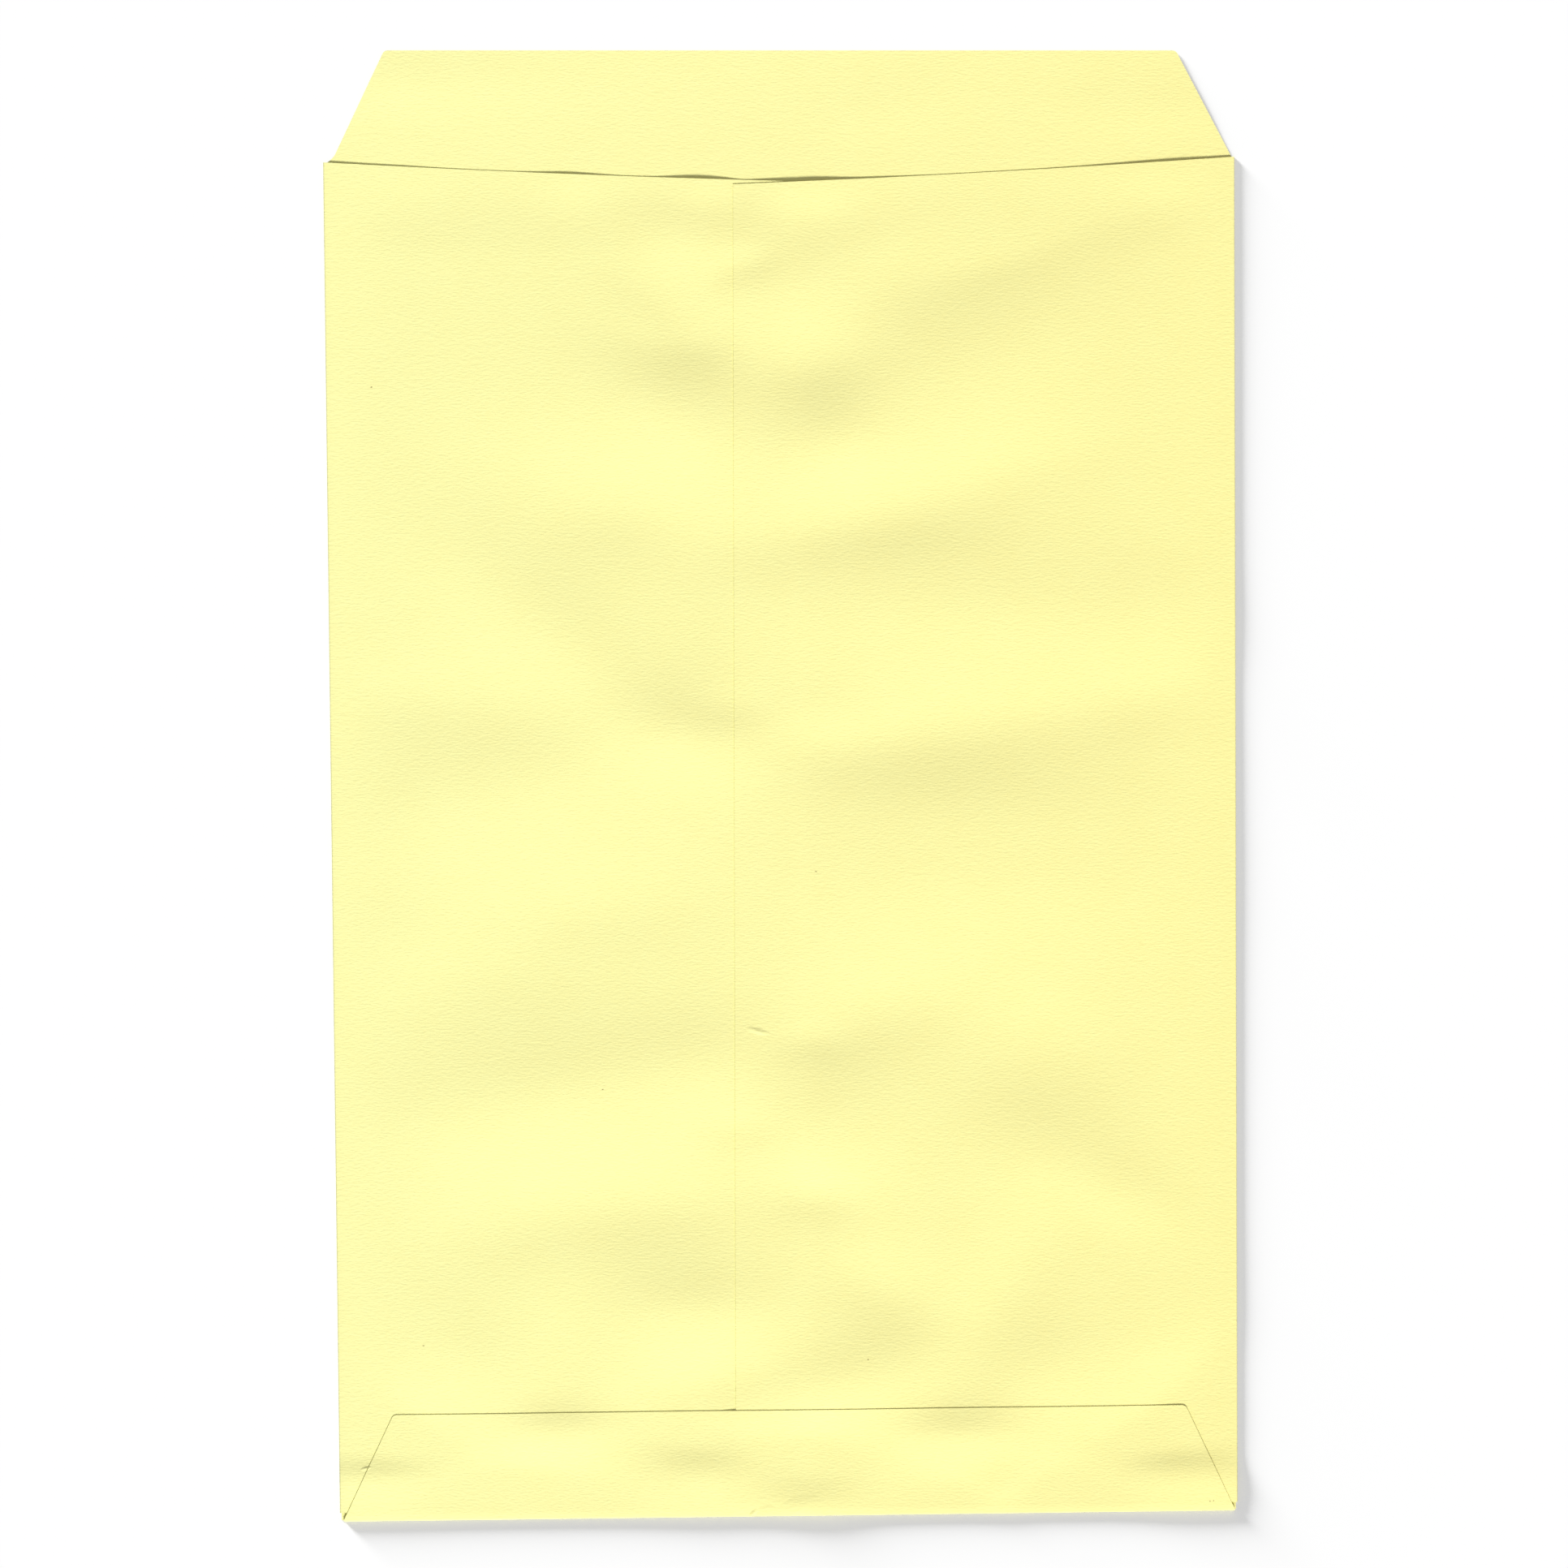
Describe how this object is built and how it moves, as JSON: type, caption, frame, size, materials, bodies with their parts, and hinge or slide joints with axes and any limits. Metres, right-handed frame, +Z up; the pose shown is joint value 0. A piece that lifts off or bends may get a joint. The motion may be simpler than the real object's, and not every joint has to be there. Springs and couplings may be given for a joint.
{
  "type": "letter envelope",
  "caption": "Plain yellow paper pocket envelope with a lapped back seam, a glued foot flap and an open seal flap, lying back side up.",
  "frame": {"origin": "middle of the outline seen from above, on the table surface under the address side", "axes": "+Y from the foot fold towards the open seal flap, +X to the right seen from the seam side, +Z up out of the seam side"},
  "size_m": [0.1541, 0.248, 0.0025],
  "materials": {
    "yellow_paper": "uncoated pale yellow wood-free paper, faintly fibrous, matt"
  },
  "bodies": {
    "root": {"envelope": "yellow_paper"}
  },
  "joints": []
}
